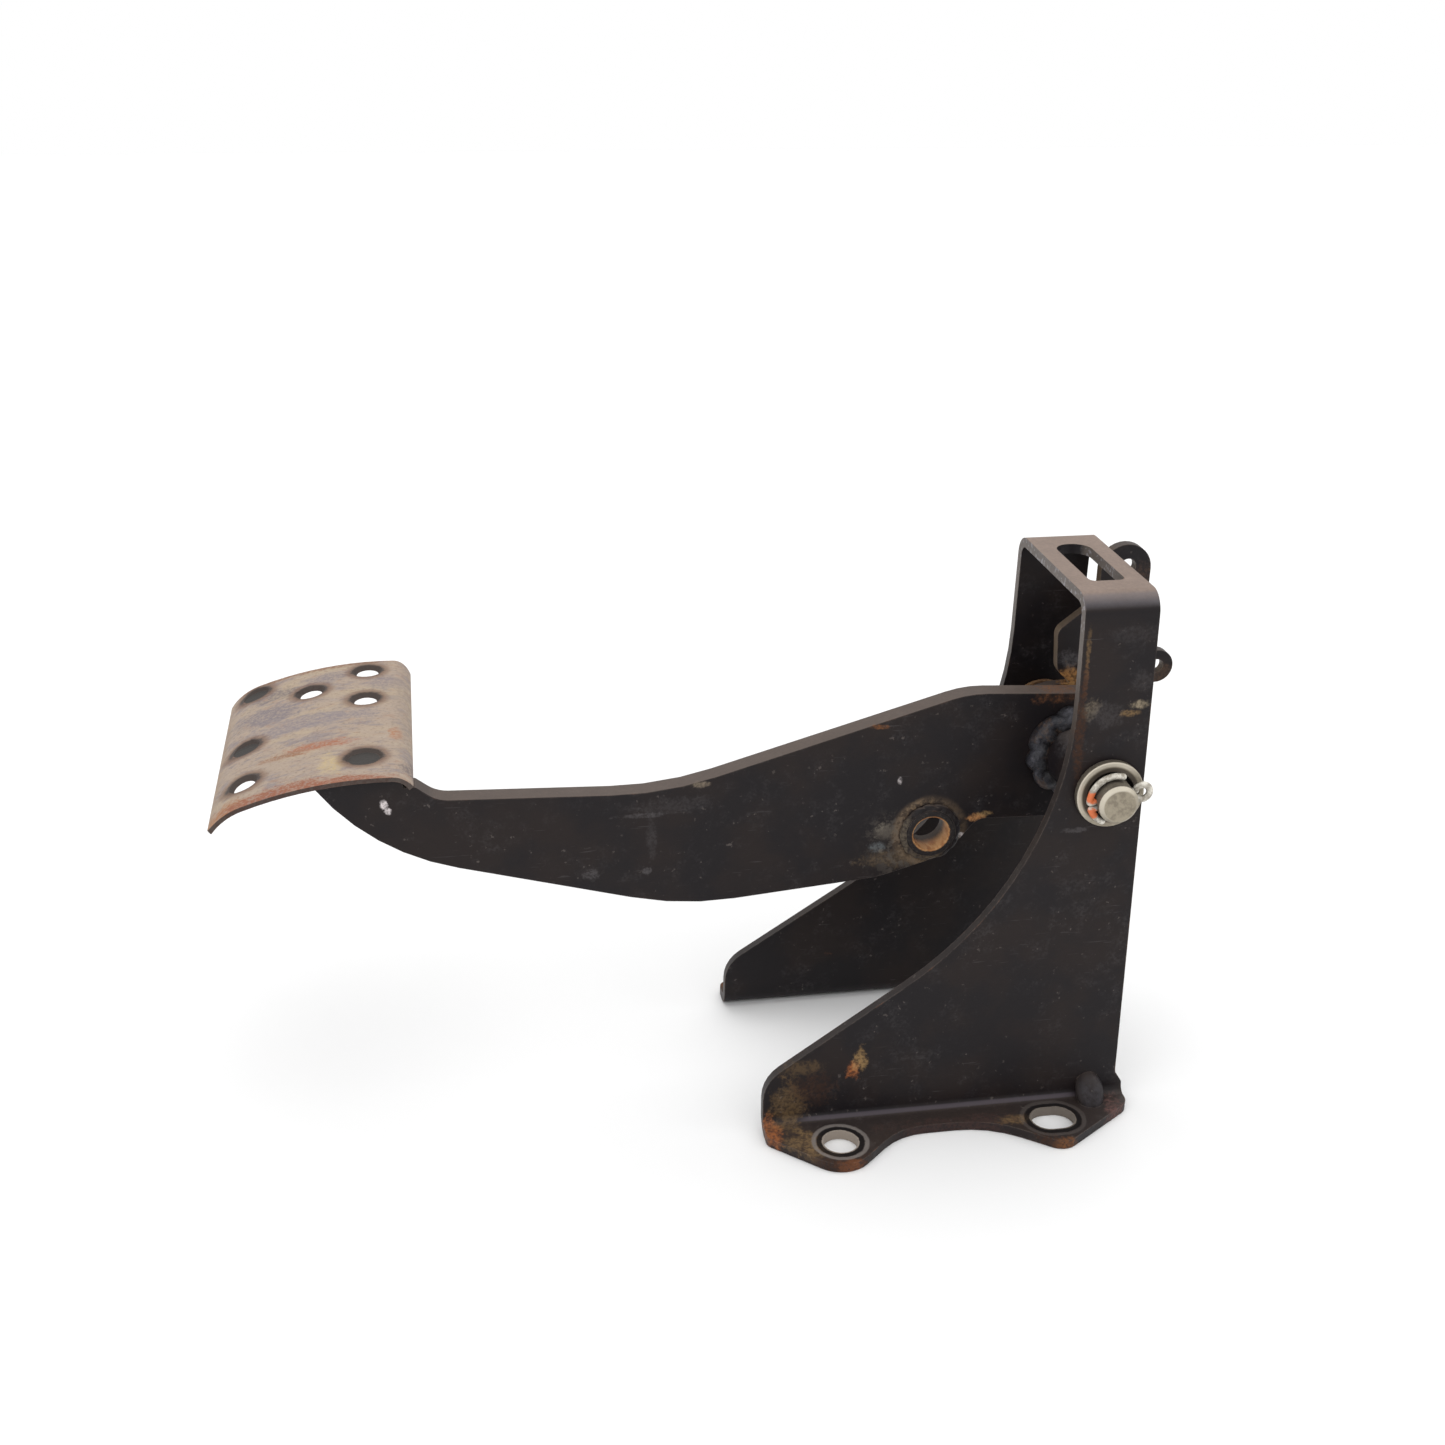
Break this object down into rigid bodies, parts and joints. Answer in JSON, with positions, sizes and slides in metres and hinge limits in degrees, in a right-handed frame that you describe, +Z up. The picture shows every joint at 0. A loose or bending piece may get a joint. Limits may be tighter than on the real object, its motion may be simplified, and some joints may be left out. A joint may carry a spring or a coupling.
{
  "type": "vehicle foot pedal assembly",
  "caption": "Hanging foot pedal of a vehicle: a plate arm with a crowned pad plate turns on a pin in a bent-sheet bracket with two bolting feet.",
  "frame": {"origin": "middle of the bolting plane between the two feet, at the rear edge of the bracket's side plates", "axes": "+Z up from the feet to the bracket's web; the arm reaches towards -X; Y along the pivot pin, with the pad offset towards +Y"},
  "size_m": [0.3462, 0.169, 0.195],
  "materials": {
    "bracket_paint": "worn satin black paint",
    "pedal_paint": "worn satin black paint",
    "worn_pad_steel": "dull, stained and rusted",
    "dull_zinc": "dull plated",
    "bush_bronze": "dull",
    "painted_weld": "lumpy, painted over",
    "rusty_steel": "rusted"
  },
  "bodies": {
    "bracket": {"pedal_bracket": "bracket_paint", "pivot_pin": "dull_zinc", "pin_washer": "dull_zinc", "cotter_pin": "dull_zinc"},
    "pedal": {"hub_tube": "pedal_paint", "near_bush": "bush_bronze", "far_bush": "bush_bronze", "pedal_arm": "pedal_paint", "spring_lever": "pedal_paint", "pushrod_bush": "rusty_steel", "pad_plate": "worn_pad_steel", "pad_weld": "painted_weld", "hub_weld_near": "painted_weld", "hub_weld_far": "painted_weld", "pushrod_weld_near": "painted_weld", "pushrod_weld_far": "painted_weld", "lever_weld_near": "painted_weld", "lever_weld_far": "painted_weld"}
  },
  "joints": [
    {"name": "pedal_pivot", "type": "hinge", "parent": "bracket", "child": "pedal", "pos_m": [-0.0129, 0, 0.125], "axis": [0, 1, 0], "range_deg": [0, 28]}
  ]
}
